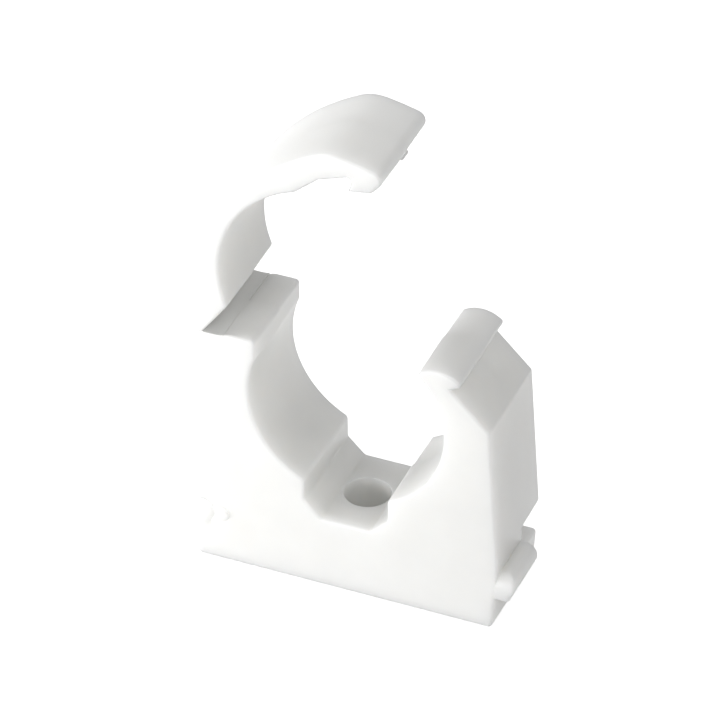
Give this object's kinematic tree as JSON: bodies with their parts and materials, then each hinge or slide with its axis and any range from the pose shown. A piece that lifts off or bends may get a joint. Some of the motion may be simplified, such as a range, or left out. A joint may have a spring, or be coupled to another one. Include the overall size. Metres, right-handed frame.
{
  "type": "pipe clip",
  "caption": "White moulded pipe clip: a block with a round cradle and a screw slot, and a curved strap on a living hinge that snaps over a catch to hold a pipe.",
  "frame": {"origin": "centre of the screw hole on the seat face that lies against the wall, straight below the pipe's axis", "axes": "+X across the clip from the hinge side to the catch side, +Y along the pipe from front to back, +Z out from the seat towards the pipe"},
  "size_m": [0.0379, 0.0129, 0.0562],
  "materials": {
    "polypropylene": "satin-gloss moulded white polypropylene"
  },
  "bodies": {
    "base": {"clip_base": "polypropylene", "living_hinge": "polypropylene"},
    "strap": {"closing_strap": "polypropylene"}
  },
  "joints": [
    {"name": "strap_hinge", "type": "hinge", "parent": "base", "child": "strap", "pos_m": [-0.01515, 0, 0.02948], "axis": [0, 1, 0], "range_deg": [-100, 54], "stiffness_Nm_per_rad": 0.02, "deforming": ["living_hinge"]}
  ]
}
